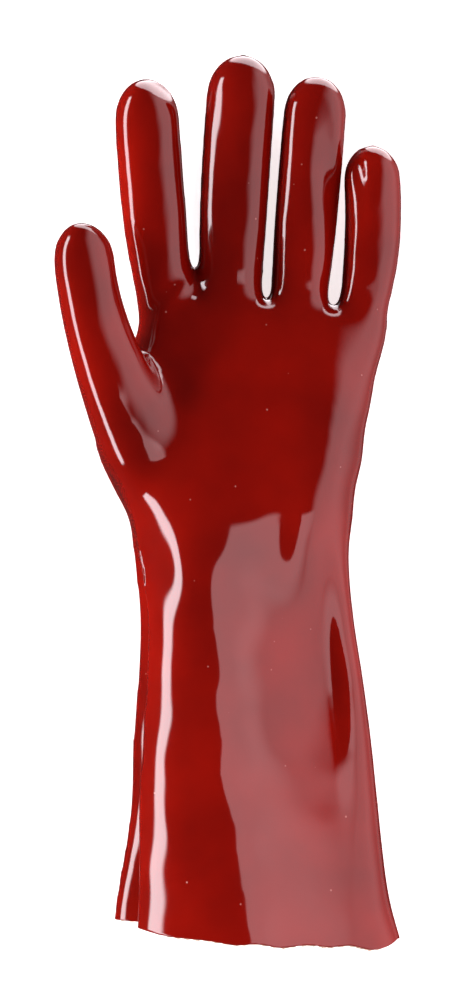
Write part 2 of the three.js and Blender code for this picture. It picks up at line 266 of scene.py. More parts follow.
def superellipse(angle, roundness):
    """Points of |u|^n + |v|^n = 1 at an angle, n being the roundness: 2 is a circle, more is boxier."""
    cos, sin = np.cos(angle), np.sin(angle)
    power = 2.0 / roundness
    return np.sign(cos) * np.abs(cos) ** power, np.sign(sin) * np.abs(sin) ** power


def closed_tube(grid):
    """Vertices and faces of a tube through the rings of a grid, with a flat fan over each end."""
    rings, sides = grid.shape[:2]
    points = np.vstack([grid.reshape(-1, 3), grid[0].mean(0), grid[-1].mean(0)])
    j, i = np.meshgrid(np.arange(rings - 1), np.arange(sides), indexing="ij")
    a = (j * sides + i).ravel()
    b = (j * sides + (i + 1) % sides).ravel()
    quads = np.column_stack([a, a + sides, b + sides, b])
    ring = np.arange(sides)
    after = (ring + 1) % sides
    first_hub, last_hub = rings * sides, rings * sides + 1
    start = np.column_stack([np.full(sides, first_hub), ring, after])
    last = (rings - 1) * sides
    end = np.column_stack([np.full(sides, last_hub), last + after, last + ring])
    return points, [quads.tolist(), start.tolist(), end.tolist()]


def turned(dx, dy, degrees):
    """The steps dx and dy as steps across and along axes turned by an angle."""
    turn = math.radians(degrees)
    return dx * math.cos(turn) + dy * math.sin(turn), dy * math.cos(turn) - dx * math.sin(turn)


def palm_dent(x, y, size):
    """Depth of the palm side's hollows: a sum of turned bells, each as deep, wide and long as its row."""
    width, length = size["palm_width"], size["hand_length"]
    depth = np.zeros(np.broadcast(x, y).shape)
    for row in rows_as_dicts(FORM_COLUMNS, PALM_FORMS):
        across, along = turned(x - row["x"] * width, y - size["cuff_length"] - row["y"] * length, row["turn"])
        bells = bell(across / (row["across"] * width)) * bell(along / (row["along"] * length))
        depth += row["depth"] * size["palm_depth"] * bells
    return depth


def crown_height(u, apex, fall, round_left, round_right):
    """Height from 0 to 1 of the top over u from -1 to 1: on each side of the apex a superellipse arc, the
    right one lowered by a slope that starts softly at the apex and ends at the edge."""
    to_left = np.clip((apex - u) / (1 + apex), 0, 1)
    to_right = np.clip((u - apex) / (1 - apex), 0, 1)
    left = (1 - to_left**round_left) ** (1 / round_left)
    right = (1 - to_right**round_right) ** (1 / round_right)
    slope = (np.sqrt(to_right**2 + SLOPE_SOFTNESS) - math.sqrt(SLOPE_SOFTNESS)) * (1 - to_right**2)
    return np.where(u < apex, left, right - fall * slope)


def hand_grid(size):
    """Cuff and hand: at each height a superellipse between the left and right edges, pressed flat below,
    its thumb side moved in by a step (the pleat's lap) plus a bell (its tuck), its top changing over to the
    leaning crown along the cuff, and lowered by the palm's dents."""
    at, columns = [], {name: [] for name in SECTION_COLUMNS[3:]}
    starts = {"cuff": 0.0, "hand": size["cuff_length"]}
    for row in rows_as_dicts(SECTION_COLUMNS, SECTIONS):
        at.append(starts[row["part"]] + size[row["part"] + "_length"] * row["at"])
        width, depth = size[row["by"] + "_width"], size[row["by"] + "_depth"]
        units = {
            "left": width, "right": width, "depth": depth, "lift": depth * row["depth"],
            "tuck": size["pleat_depth"], "lap": size["pleat_lap"], "apex": 1, "fall": 1,
        }
        for name, unit in units.items():
            columns[name].append(unit * row[name])
    y = np.arange(-BELOW_HEM, at[-1] + 0.01, RING_SPACING)
    c = {name: curve_through(at, values, y)[:, None] for name, values in columns.items()}
    even = np.linspace(0, 2 * math.pi, BODY_SIDES, endpoint=False)
    u, v = superellipse(even + SIDE_CROWDING * np.sin(even), BODY_ROUNDNESS)
    leaning = np.clip(c["fall"] / FULL_FALL, 0, 1)
    v = np.where(v > 0, v + leaning * (crown_height(u, c["apex"], c["fall"], CROWN_LEFT, CROWN_RIGHT) - v), v)
    along = ((y - at[0]) / (at[-1] - at[0]))[:, None]
    on_thumb_side = smooth_step(*THUMB_SIDE, -u)
    on_top = smooth_step(*TOP_SIDE, v) * (1.0 - smooth_step(*ROOT_FADE, along))
    lap = np.maximum(c["lap"], 0.0) * smooth_step(*LAP_RANGE, v)
    tuck = np.maximum(c["tuck"], 0.0) * bell((v - TUCK_HEIGHT) / TUCK_SPREAD)
    half_width = (c["right"] - c["left"]) / 2
    half_depth = c["depth"] / (1 + FLAT_CUT)
    x = (c["left"] + c["right"]) / 2 + half_width * u + on_thumb_side * (lap + tuck)
    root_drop = size["root_slope"] * smooth_step(*DROP_ACROSS, u) * smooth_step(*DROP_ALONG, along)
    yy = y[:, None] - root_drop
    height = np.maximum(0.0, half_depth * (FLAT_CUT + v) - on_top * palm_dent(x, yy, size))
    z = np.maximum(c["lift"], 0.0) + height
    return np.stack([x, yy + 0 * x, z], axis=-1)


def digit_line(row, size, t):
    """Middle line of a digit: its sideways and upward run are each a straight part plus a square part."""
    length = size[row["by"] + "_length"] * row["long"]
    return np.stack([
        row["x"] * size["palm_width"] + length * (row["lean"] * t + row["bow"] * t * t),
        size["cuff_length"] + row["root"] * size["hand_length"] + length * t,
        row["z"] * size["palm_depth"] + length * (row["rise"] * t + row["curl"] * t * t),
    ], axis=-1)


def digit_grid(row, size):
    """A digit: a superellipse carried square to its middle line, narrowing to the tip and changing width to
    the root by the cube of what is left of the way, with a half ellipse as the tip's outline from above and
    a superellipse of its own bluntness as its outline from the side."""
    length = size[row["by"] + "_length"] * row["long"]
    width = size[row["by"] + "_width"] * row["wide"]
    depth = size[row["by"] + "_depth"] * row["deep"]
    tip = TIP_LENGTH * width / length
    turn = np.radians(np.linspace(0, TIP_END, TIP_RINGS + 1))[1:]
    t = np.concatenate([np.linspace(-row["back"], 1 - tip, SHAFT_RINGS), 1 - tip + tip * np.sin(turn)])
    shaft = np.ones(SHAFT_RINGS)
    shrink = np.concatenate([shaft, np.cos(turn)])
    sink = np.concatenate([shaft, (1 - np.sin(turn) ** row["blunt"]) ** (1 / row["blunt"])])
    outward = np.maximum(t, 0.0)
    swell = 1 + row["flare"] * (1 - outward) ** 3 - row["taper"] * outward
    middle = digit_line(row, size, t)
    step = 0.01
    tangent = digit_line(row, size, t + step) - digit_line(row, size, t - step)
    tangent /= np.linalg.norm(tangent, axis=1, keepdims=True)
    side = np.cross(tangent, (0.0, 0.0, 1.0))
    side /= np.linalg.norm(side, axis=1, keepdims=True)
    up = np.cross(side, tangent)
    u, v = superellipse(np.linspace(0, 2 * math.pi, DIGIT_SIDES, endpoint=False), DIGIT_ROUNDNESS)
    v = np.where(v > 0, crown_height(u, row["apex"], row["fall"], DIGIT_ROUNDNESS, DIGIT_ROUNDNESS), v)
    return (
        middle[:, None]
        + side[:, None] * (u[None, :, None] * (swell * shrink * width / 2)[:, None, None])
        + up[:, None] * (v[None, :, None] * (swell * sink * depth / 2)[:, None, None])
    )


def fan_start(size):
    """Distance from the hem at which the fan starts."""
    return size["cuff_length"] + FAN_START * size["hand_length"]


def fanned(grid, row, size):
    """A digit's grid with x moved on by its slope times the run beyond the finger roots."""
    grid = grid.copy()
    grid[..., 0] += FAN_SLOPES[row["name"]] * np.maximum(grid[..., 1] - fan_start(size), 0.0)
    return grid


def closed_again(points, size):
    """Takes the fan back out: each point's slope is the mean of the digits' slopes, weighed by a bell of its
    distance from each fanned middle line."""
    beyond = np.maximum(points[:, 1] - fan_start(size), 0.0)
    t = np.linspace(0, 1, LINE_SPOTS)
    total, weight = np.zeros(len(points)), np.zeros(len(points))
    least = np.full(len(points), np.inf)
    squares = []
    for row in rows_as_dicts(DIGIT_COLUMNS, DIGITS):
        line = fanned(digit_line(row, size, t), row, size)
        square = np.full(len(points), np.inf)
        for spot in line:
            square = np.minimum(square, np.square(points - spot).sum(1))
        squares.append((FAN_SLOPES[row["name"]], square))
        least = np.minimum(least, square)
    for slope, square in squares:
        share = np.exp((least - square) / FAN_BLEND**2)
        total += share * slope
        weight += share
    points = points.copy()
    points[:, 0] -= beyond * total / weight
    return points


def mesh_arrays(mesh):
    """Points, in millimetres, and quads of a mesh whose faces all have four corners."""
    points = np.empty(len(mesh.vertices) * 3)
    mesh.vertices.foreach_get("co", points)
    corners = np.empty(len(mesh.loops), dtype=np.int64)
    mesh.loops.foreach_get("vertex_index", corners)
    return points.reshape(-1, 3) / MM, corners.reshape(-1, 4)


def welded(grids):
    """One skin of even quads round all the tubes together, as arrays."""
    points, faces, offset = [], [], 0
    for grid in grids:
        tube_points, groups = closed_tube(grid)
        points.append(tube_points)
        faces += [[corner + offset for corner in face] for group in groups for face in group]
        offset += len(tube_points)
    rough = bpy.data.meshes.new("rough_form")
    rough.from_pydata(np.vstack(points) * MM, [], faces)
    holder = bpy.data.objects.new("rough_form", rough)
    bpy.context.scene.collection.objects.link(holder)
    weld = holder.modifiers.new("weld", "REMESH")
    weld.mode = "VOXEL"
    weld.voxel_size = VOXEL * MM
    graph = bpy.context.evaluated_depsgraph_get()
    skin = bpy.data.meshes.new_from_object(holder.evaluated_get(graph))
    arrays = mesh_arrays(skin)
    bpy.data.objects.remove(holder)
    bpy.data.meshes.remove(rough)
    bpy.data.meshes.remove(skin)
    return arrays


def corner_pairs(quads):
    """The four sides of every quad, each from one corner to the next."""
    return np.vstack([quads[:, [k, (k + 1) % 4]] for k in range(4)])


def edges_of(quads):
    """Each pair of neighbouring corners once."""
    return np.unique(np.sort(corner_pairs(quads), axis=1), axis=0)


def neighbour_mean(points, edges):
    """At each point the mean place of the points that share an edge with it."""
    count = np.bincount(edges.ravel(), minlength=len(points)).astype(float)
    total = np.empty_like(points)
    for axis in range(3):
        total[:, axis] = np.bincount(edges[:, 0], points[edges[:, 1], axis], len(points))
        total[:, axis] += np.bincount(edges[:, 1], points[edges[:, 0], axis], len(points))
    return total / np.maximum(count, 1.0)[:, None]


def softened(points, edges, rounds, share):
    """Plain smoothing: each round moves every point a share of the way to the mean of its neighbours."""
    share = np.broadcast_to(share, len(points))[:, None]
    for _ in range(rounds):
        points = points + share * (neighbour_mean(points, edges) - points)
    return points


def relaxed(points, edges, rounds, share):
    """Smoothing that keeps the size: each round softens once, then moves every point slightly further back
    out."""
    for _ in range(rounds):
        points = softened(points, edges, 1, share)
        points = softened(points, edges, 1, -PUSHED_BACK * share)
    return points


def normals_of(points, quads):
    """At each point the mean direction of the faces round it, each weighed by its area."""
    diagonal_a = points[quads[:, 2]] - points[quads[:, 0]]
    diagonal_b = points[quads[:, 3]] - points[quads[:, 1]]
    face = np.cross(diagonal_a, diagonal_b)
    normal = np.empty_like(points)
    for axis in range(3):
        weights = np.repeat(face[:, axis], 4)
        normal[:, axis] = np.bincount(quads.ravel(), weights, len(points))
    return normal / np.maximum(np.linalg.norm(normal, axis=1, keepdims=True), 1e-12)


def root_softness(points, size):
    """Share of plain smoothing at each point: most in a band across the finger roots and along the line
    where the thumb meets the palm, none elsewhere."""
    x, y = points[:, 0], points[:, 1]
    root = size["cuff_length"] + size["hand_length"] * (ROOT_LINE - ROOT_DROP * smooth_step(0, ROOT_RUN, x))
    fingers = bell((y - root) / ROOT_SPREAD) * (x > ROOT_LIMIT)
    crease_x, crease_y = CREASE_X * size["palm_width"], size["cuff_length"] + CREASE_Y * size["hand_length"]
    thumb = bell((x - crease_x) / CREASE_ACROSS) * bell((y - crease_y) / CREASE_ALONG)
    return ROOT_SOFTEN[1] * np.clip(fingers + thumb, 0.0, 1.0)


def glove_length(size):
    """From the hem to the tip of the middle finger."""
    return size["cuff_length"] + size["hand_length"] + size["finger_length"]


def dent_depth(x, y, size):
    """Depth of the small dents: a sum of turned bells, each with its own width to either side."""
    width, length = size["palm_width"], glove_length(size)
    depth = np.zeros(len(x))
    for row in rows_as_dicts(DENT_COLUMNS, DENTS):
        across, along = turned(x - row["x"] * width, y - row["y"] * length, row["turn"])
        half = np.where(across < 0, row["left"], row["right"]) * width
        depth += row["depth"] * bell(across / half) * bell(along / (row["along"] * length))
    return depth


def crease_height(x, y, size):
    """Height of the creases: for each a bell of the distance from its curve, wider on one side than on the
    other, fading out over its last stretch at both ends."""
    scale = np.array([size["palm_width"], glove_length(size)])
    height = np.zeros(len(x))
    for row in rows_as_dicts(CREASE_COLUMNS, CREASES):
        chart = np.array(row["points"]) * scale
        at = np.linspace(0, 1, len(chart))
        fine = np.linspace(0, 1, CREASE_SPOTS)
        line = np.column_stack([curve_through(at, chart[:, 0], fine), curve_through(at, chart[:, 1], fine)])
        run = np.gradient(line, axis=0)
        dx, dy = x[:, None] - line[None, :, 0], y[:, None] - line[None, :, 1]
        nearest = np.argmin(dx * dx + dy * dy, axis=1)
        pick = np.arange(len(x))
        dx, dy = dx[pick, nearest], dy[pick, nearest]
        to_left = run[nearest, 0] * dy - run[nearest, 1] * dx > 0
        # the curves run downwards, so their own right side is the glove's thumb side
        half = np.where(to_left, row["right"], row["left"])
        first, last = CREASE_FADES
        fade = smooth_step(0.0, first, fine[nearest]) * smooth_step(0.0, last, 1 - fine[nearest])
        height += row["height"] * fade * bell(np.sqrt(dx * dx + dy * dy) / half)
    return height


def wave_height(x, y):
    """Height of the skin's slow waves: a sum of sines, each running its own way over the palm side."""
    height = np.zeros(len(x))
    for row in rows_as_dicts(WAVE_COLUMNS, WAVES):
        height += row["height"] * np.sin(2 * math.pi * (row["across"] * x + row["along"] * y) + row["start"])
    return height


def hem_rise(points, size):
    """How far the cut edge lies above its mean line: the chart of the palm side on top, and below a plain
    slant with two waves."""
    hem = dict(zip(SECTION_COLUMNS, SECTIONS[0]))
    left, right = size["hem_width"] * hem["left"], size["hem_width"] * hem["right"]
    across = np.clip((points[:, 0] - (left + right) / 2) / ((right - left) / 2), -1, 1)
    place, height = np.array(HEM_EDGE).T
    top = curve_through(place, height, across) * size["hem_slant"] * CHART_SHARE
    back = -BACK_SHARE * across * size["hem_slant"]
    for share, run, start in BACK_WAVES:
        back = back + share * size["hem_wave"] * np.sin(run * across + start)
    on_top = smooth_step(*PALM_SIDE, points[:, 2] / size["hem_depth"])
    return top * on_top + back * (1 - on_top)


def thread_length(x):
    """How far the liner's threads hang out over the width, as a share of the most: a mean and two sines."""
    return 0.5 + 0.3 * np.sin(1.7 * x) + 0.2 * np.sin(4.1 * x + 1.0)


def cut_at_hem(points, quads):
    """The form without what lies below y = 0, as points and faces."""
    form = bpy.data.meshes.new("cut_form")
    form.from_pydata(points * MM, [], quads.tolist())
    work = bmesh.new()
    work.from_mesh(form)
    everything = work.verts[:] + work.edges[:] + work.faces[:]
    bmesh.ops.bisect_plane(
        work, geom=everything, dist=1e-7, plane_co=(0, 0, 0), plane_no=(0, -1, 0), clear_outer=True,
    )
    bmesh.ops.remove_doubles(work, verts=work.verts[:], dist=MERGED * MM)
    work.to_mesh(form)
    work.free()
    cut = np.empty(len(form.vertices) * 3)
    form.vertices.foreach_get("co", cut)
    faces = [tuple(face.vertices) for face in form.polygons]
    bpy.data.meshes.remove(form)
    return cut.reshape(-1, 3) / MM, faces


def fan_to_quads(faces):
    """Faces as rows of four corners, a triangle's last corner given twice."""
    out = []
    for face in faces:
        if len(face) == 4:
            out.append(face)
        elif len(face) == 3:
            out.append(face + face[-1:])
        else:
            out += [(face[0], face[k], face[k + 1], face[k + 1]) for k in range(1, len(face) - 1)]
    return np.array(out, dtype=np.int64)


# The finished surface by its sizes: the skin and the liner share one
SURFACES = {}


def glove_surface(size):
    """The glove's outer surface, open at the hem, as points and quads (a triangle's last corner twice): the
    tubes welded and smoothed, its upward side moved by crest, dents and waves, cut and shaped at the hem."""
    key = tuple(sorted(size.items()))
    if key not in SURFACES:
        grids = [hand_grid(size)]
        grids += [fanned(digit_grid(row, size), row, size) for row in rows_as_dicts(DIGIT_COLUMNS, DIGITS)]
        points, quads = welded(grids)
        edges = edges_of(quads)
        points = closed_again(points, size)
        points = relaxed(points, edges, *WELD_RELAX)
        points = softened(points, edges, *WELD_SOFTEN)
        points = softened(points, edges, ROOT_SOFTEN[0], root_softness(points, size))
        points = relaxed(points, edges, *FORM_RELAX)
        upward = smooth_step(*FACING_UP, normals_of(points, quads)[:, 2])
        x, y = points[:, 0].copy(), points[:, 1].copy()
        points[:, 2] += upward * (crease_height(x, y, size) - dent_depth(x, y, size) + wave_height(x, y))
        points = relaxed(points, edges, *DENT_RELAX)
        points[:, 2] = np.maximum(points[:, 2], 0.0)
        points, faces = cut_at_hem(points, quads)
        quads = fan_to_quads(faces)
        near_hem = 1 - smooth_step(0.0, HEM_REACH, points[:, 1])
        points[:, 1] += hem_rise(points, size) * near_hem
        SURFACES[key] = points, quads
    return SURFACES[key]


def rim_edges(quads, count):
    """Directed edges that only one face has, in the direction that the face has them."""
    pairs = corner_pairs(quads)
    pairs = pairs[pairs[:, 0] != pairs[:, 1]]
    forward = pairs[:, 0] * count + pairs[:, 1]
    backward = pairs[:, 1] * count + pairs[:, 0]
    return pairs[~np.isin(forward, backward)]


def shell(points, quads, depth, wall):
    """A closed wall: the surface moved inwards by the depth, again by the wall, and a rim between the two."""
    normal = normals_of(points, quads)
    count = len(points)
    edge = rim_edges(quads, count)
    at_hem = np.zeros(count, bool)
    at_hem[edge.ravel()] = True
    normal[at_hem, 1] = 0.0
    normal /= np.linalg.norm(normal, axis=1, keepdims=True)
    outer = points - normal * depth
    inner = points - normal * (depth + wall)
    rim = np.column_stack([edge[:, 1], edge[:, 0], edge[:, 0] + count, edge[:, 1] + count])
    faces = np.vstack([quads, quads[:, [3, 2, 1, 0]] + count, rim])
    return np.vstack([outer, inner]), faces


def to_cad_place(points, size):
    """Glove coordinates moved so that the outline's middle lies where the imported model's does."""
    surface, _ = glove_surface(size)
    low, high = np.array(COATING_BOX[0]) / MM, np.array(COATING_BOX[1]) / MM
    middle = (surface.min(0) + surface.max(0)) / 2
    shift = (low + high) / 2 - middle
    shift[2] = low[2] - surface[:, 2].min()
    return points + shift


def mesh_object(name, points, faces, material):
    """A smooth shaded object at the origin, its points given in millimetres."""
    corners = [tuple(dict.fromkeys(face)) for face in faces.tolist()]
    mesh = bpy.data.meshes.new(name)
    mesh.from_pydata(points * MM, [], corners)
    mesh.validate()
    mesh.polygons.foreach_set("use_smooth", np.ones(len(mesh.polygons), dtype=bool))
    mesh.materials.append(material)
    obj = bpy.data.objects.new(name, mesh)
    bpy.context.scene.collection.objects.link(obj)
    return obj


def linear(hex_colour):
    """An sRGB hex colour as linear red, green, blue and alpha."""
    channels = [int(hex_colour[k:k + 2], 16) / 255 for k in (0, 2, 4)]
    return [c / 12.92 if c <= 0.04045 else ((c + 0.055) / 1.055) ** 2.4 for c in channels] + [1.0]


def add_node(tree, kind, inputs=None, **settings):
    """A node with its settings; an input's value may be a constant or another node's output."""
    node = tree.nodes.new(kind)
    for name, value in settings.items():
        setattr(node, name, value)
    for name, value in (inputs or {}).items():
        socket = node.inputs[name]
        if isinstance(value, bpy.types.NodeSocket):
            tree.links.new(value, socket)
        else:
            socket.default_value = value
    return node


def new_material(name):
    material = bpy.data.materials.new(name)
    material.use_nodes = True
    material.node_tree.nodes.clear()
    return material, material.node_tree


# Patterns of the skin, in repeats a metre: patches of thicker dip 45 mm across, swells of the surface 26 mm
# across, and pinhead bubbles 9 mm apart
DIP_PATCHES, SKIN_SWELLS, BUBBLES = 22.0, 38.0, 110.0
# A bubble fades out between these two radii, 0.2 and 0.5 mm, given as shares of the bubbles' spacing
BUBBLE_RADII = (0.025, 0.055)
BUBBLE_STRENGTH, BUBBLE_COLOUR = 0.45, "c98f86"
# Height of the skin's swells in the bump, in metres, and how strongly they bend the light
SWELL_HEIGHT, SWELL_STRENGTH = 0.0016, 0.45
# The wave texture repeats every 0.314 mm at scale 1, so this scale gives columns of stitches 1.1 mm wide
STITCH_SCALE = 0.285
STITCH_HEIGHT, STITCH_STRENGTH = 0.0004, 0.6


def surface_output(tree, shader):
    """Ends a material in a shader."""
    out = add_node(tree, "ShaderNodeOutputMaterial")
    tree.links.new(shader, out.inputs["Surface"])


def dipped_pvc(finish):
    """Plasticised PVC, dipped and fused: a wet-looking skin of deep red that mirrors sharply, with slow
    unevenness in colour and surface and a few pale pinhead bubbles."""
    material, tree = new_material("dipped_red_pvc")
    place = add_node(tree, "ShaderNodeTexCoord").outputs["Object"]
    cloud = add_node(tree, "ShaderNodeTexNoise", {"Vector": place, "Scale": DIP_PATCHES, "Detail": 3.0})
    thin = add_node(tree, "ShaderNodeMapRange", {
        "Value": cloud.outputs["Fac"], "From Min": 0.3, "From Max": 0.7, "To Min": 0.0, "To Max": 1.0,
    }).outputs["Result"]
    colour = add_node(tree, "ShaderNodeMix", {
        "Factor": thin, "A": list(finish.pvc_deep) + [1.0], "B": list(finish.pvc_bright) + [1.0],
    }, data_type="RGBA")
    swell = add_node(tree, "ShaderNodeTexNoise", {"Vector": place, "Scale": SKIN_SWELLS, "Detail": 1.0})
    bump = add_node(tree, "ShaderNodeBump", {
        "Height": swell.outputs["Fac"], "Strength": SWELL_STRENGTH, "Distance": SWELL_HEIGHT,
    })
    cells = add_node(tree, "ShaderNodeTexVoronoi", {"Vector": place, "Scale": BUBBLES}).outputs["Distance"]
    bubble = add_node(tree, "ShaderNodeMapRange", {
        "Value": cells, "From Min": BUBBLE_RADII[0], "From Max": BUBBLE_RADII[1],
        "To Min": BUBBLE_STRENGTH, "To Max": 0.0,
    }).outputs["Result"]
    speckled = add_node(tree, "ShaderNodeMix", {
        "Factor": bubble, "A": colour.outputs["Result"], "B": linear(BUBBLE_COLOUR),
    }, data_type="RGBA")
    shader = add_node(tree, "ShaderNodeBsdfPrincipled", {
        "Base Color": speckled.outputs["Result"], "Roughness": 0.07, "IOR": 1.53,
        "Normal": bump.outputs["Normal"],
    })
    surface_output(tree, shader.outputs["BSDF"])
    return material


def knitted_cotton(finish):
    """Undyed cotton, knitted as interlock: dull and soft, with columns of stitches 1.1 mm wide, lower in
    between and painted darker there as shade in the grooves."""
    material, tree = new_material("cream_knitted_cotton")
    place = add_node(tree, "ShaderNodeAttribute", attribute_name="stitch_place").outputs["Vector"]
    wave = add_node(tree, "ShaderNodeTexWave", {
        "Vector": place, "Scale": STITCH_SCALE, "Distortion": 0.6, "Detail": 1.0,
    }, bands_direction="X").outputs["Fac"]
    # painted shade: where the stitch wave is low, in the grooves between the columns, the knit is mixed
    # towards the darker colour
    colour = add_node(tree, "ShaderNodeMix", {
        "Factor": wave, "A": list(finish.cotton_shade) + [1.0], "B": list(finish.cotton) + [1.0],
    }, data_type="RGBA")
    bump = add_node(tree, "ShaderNodeBump", {
        "Height": wave, "Strength": STITCH_STRENGTH, "Distance": STITCH_HEIGHT,
    })
    shader = add_node(tree, "ShaderNodeBsdfPrincipled", {
        "Base Color": colour.outputs["Result"], "Roughness": 0.95, "Normal": bump.outputs["Normal"],
        "Sheen Weight": 0.2,
    })
    surface_output(tree, shader.outputs["BSDF"])
    return material


def white_paper():
    """Uncoated white paper: matt and even, with a glow of its own that keeps it white all over."""
    material, tree = new_material("white_paper")
    shader = add_node(tree, "ShaderNodeBsdfPrincipled", {
        "Base Color": (0.9, 0.9, 0.9, 1), "Roughness": 0.9,
        "Emission Color": (1, 1, 1, 1), "Emission Strength": 0.7,
    })
    surface_output(tree, shader.outputs["BSDF"])
    return material


def lit_acrylic(name, half_x, half_y, soft, strength, colour):
    """Opal acrylic sheet, lit from behind: an even glow that fades to the edges and hides nothing."""
    material, tree = new_material("lit_acrylic_" + name)
    spot = add_node(tree, "ShaderNodeTexCoord").outputs["Object"]
    split = add_node(tree, "ShaderNodeSeparateXYZ", {"Vector": spot})
    left, right, bottom, top = soft
    glow = strength
    for axis, edge, inner in (
        ("X", -half_x, left), ("X", half_x, -right), ("Y", -half_y, bottom), ("Y", half_y, -top),
    ):
        fade = add_node(tree, "ShaderNodeMapRange", {
            "Value": split.outputs[axis], "From Min": edge, "From Max": edge + inner,
            "To Min": 0.0, "To Max": 1.0,
        }, interpolation_type="SMOOTHSTEP").outputs["Result"]
        glow = add_node(tree, "ShaderNodeMath", {0: glow, 1: fade}, operation="MULTIPLY").outputs["Value"]
    shader = add_node(tree, "ShaderNodeEmission", {"Color": colour, "Strength": glow})
    clear = add_node(tree, "ShaderNodeBsdfTransparent")
    both = add_node(tree, "ShaderNodeAddShader", {0: shader.outputs["Emission"], 1: clear.outputs["BSDF"]})
    surface_output(tree, both.outputs["Shader"])
    return material


def length_property(name, description, default):
    return FloatProperty(
        name=name, description=description, default=default, min=0.0, unit="LENGTH", subtype="DISTANCE",
    )


class GloveSizes(bpy.types.PropertyGroup):
    """Driving sizes of the glove, in metres."""

    cuff_length: length_property("Cuff length", "From the cut hem to the wrist", 0.150)
    hand_length: length_property("Hand length", "From the wrist to the finger roots", 0.102)
    finger_length: length_property("Finger length", "Middle finger beyond its root", 0.092)
    thumb_length: length_property("Thumb length", "Thumb beyond the palm crease", 0.083)
    hem_width: length_property("Hem width", "Width of the cuff at the hem", 0.114)
    wrist_width: length_property("Wrist width", "Width at the wrist", 0.0858)
    palm_width: length_property("Palm width", "Width across the finger roots", 0.103)
    finger_width: length_property("Finger width", "Width of a finger", 0.0276)
    thumb_width: length_property("Thumb width", "Width of the thumb", 0.0248)
    hem_depth: length_property("Hem depth", "Height of the cuff at the hem", 0.060)
    wrist_depth: length_property("Wrist depth", "Height at the wrist", 0.047)
    palm_depth: length_property("Palm depth", "Height of the hand", 0.047)
    finger_depth: length_property("Finger depth", "Height of a finger", 0.0235)
    thumb_depth: length_property("Thumb depth", "Height of the thumb", 0.026)
    pleat_depth: length_property("Pleat depth", "How far the thumb side tucks in", 0.017)
    pleat_lap: length_property("Pleat lap", "How far the pleat's back edge stands out", 0.0055)
    hem_slant: length_property("Hem slant", "Drop of the hem to the little finger side", 0.009)
    hem_wave: length_property("Hem wave", "Height of the waves of the cut edge", 0.0012)
    root_slope: length_property("Root slope", "How much lower the little finger's root lies", 0.005)
    coat_wall: length_property("Coat wall", "Thickness of the dipped skin", 0.0011)
    liner_gap: length_property("Liner gap", "Clearance between skin and liner", 0.0003)
    liner_wall: length_property("Liner wall", "Thickness of the knitted liner", 0.0008)


def colour_property(name, description, hex_colour):
    return FloatVectorProperty(
        name=name, description=description, default=linear(hex_colour)[:3],
        size=3, min=0.0, max=1.0, subtype="COLOR",
    )


class GloveFinish(bpy.types.PropertyGroup):
    """Colours of the skin and the liner."""

    pvc_bright: colour_property("PVC, thin", "Where the dip is thin", "7e0c04")
    pvc_deep: colour_property("PVC, thick", "Where the dip is thick", "600703")
    cotton: colour_property("Cotton", "Knit on top of the stitches", "ece2d0")
    # painted shade: the colour of the knit in the grooves between the stitch columns, darker as shade there
    cotton_shade: colour_property("Cotton shade", "Knit between the stitches", "cfc0a6")


def sizes_in_mm(context):
    sizes = context.scene.glove_sizes
    return {name: getattr(sizes, name) / MM for name in GloveSizes.__annotations__}


class GLOVE_OT_coating(bpy.types.Operator):
    """Add the dipped red skin"""

    bl_idname = "glove.coating"
    bl_label = "Dipped skin"

    def execute(self, context):
        size = sizes_in_mm(context)
        points, quads = glove_surface(size)
        points, faces = shell(points, quads, 0.0, size["coat_wall"])
        material = dipped_pvc(context.scene.glove_finish)
        coating = mesh_object("dipped_skin", to_cad_place(points, size), faces, material)
        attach(coating, "root")
        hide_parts("pvc_coating")
        return {"FINISHED"}


class GLOVE_OT_liner(bpy.types.Operator):
    """Add the knitted cotton liner"""

    bl_idname = "glove.liner"
    bl_label = "Knitted liner"

    def execute(self, context):
        size = sizes_in_mm(context)
        points, quads = glove_surface(size)
        points, faces = shell(points, quads, size["coat_wall"] + size["liner_gap"], size["liner_wall"])
        material = knitted_cotton(context.scene.glove_finish)
        points[:, 1] -= FRAY * thread_length(points[:, 0]) * (1 - smooth_step(0.0, FRAY_REACH, points[:, 1]))
        liner = mesh_object("knitted_liner", to_cad_place(points, size), faces, material)
        round_cuff = np.arctan2(points[:, 2] - size["palm_depth"] / 2, points[:, 0])
        stitch = np.column_stack([round_cuff * KNIT_RADIUS, points[:, 1], 0 * points[:, 0]])
        attribute = liner.data.attributes.new("stitch_place", "FLOAT_VECTOR", "POINT")
        attribute.data.foreach_set("vector", stitch.astype(np.float32).ravel())
        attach(liner, "root")
        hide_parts("cotton_lining")
        return {"FINISHED"}


# The stage, in metres: floor, camera's height and place, height of the picture at the glove's middle height,
# and the camera's sensor in millimetres
FLOOR_HALF, FLOOR_LEVEL = 4.0, -0.0003
CAMERA_HEIGHT, CAMERA_X, CAMERA_Y = 1.5, 0.0003, -0.0004
FRAME_HEIGHT, MID_HEIGHT = 0.3915, 0.025
SENSOR = 36.0
# The surround: a rosy wall to the right, which brightens over ranges of the direction's X and Z, and a
# white window beyond the fingertips, below the floor, which only reflections see and which glows over a
# range of closeness to its direction
WALL_ACROSS, WALL_UP = (0.40, 0.74), (-0.55, 0.15)
WALL_STRENGTH, WALL_LOWEST, WALL_COLOUR = 2.3, 0.25, (1.0, 0.72, 0.75, 1)
WINDOW_DIRECTION, WINDOW_RANGE = (0.240, 0.895, -0.375), (0.79, 0.85)
WINDOW_STRENGTH, DIMMEST, WINDOW_COLOUR = 6.5, 0.03, (1.0, 0.93, 0.97, 1)
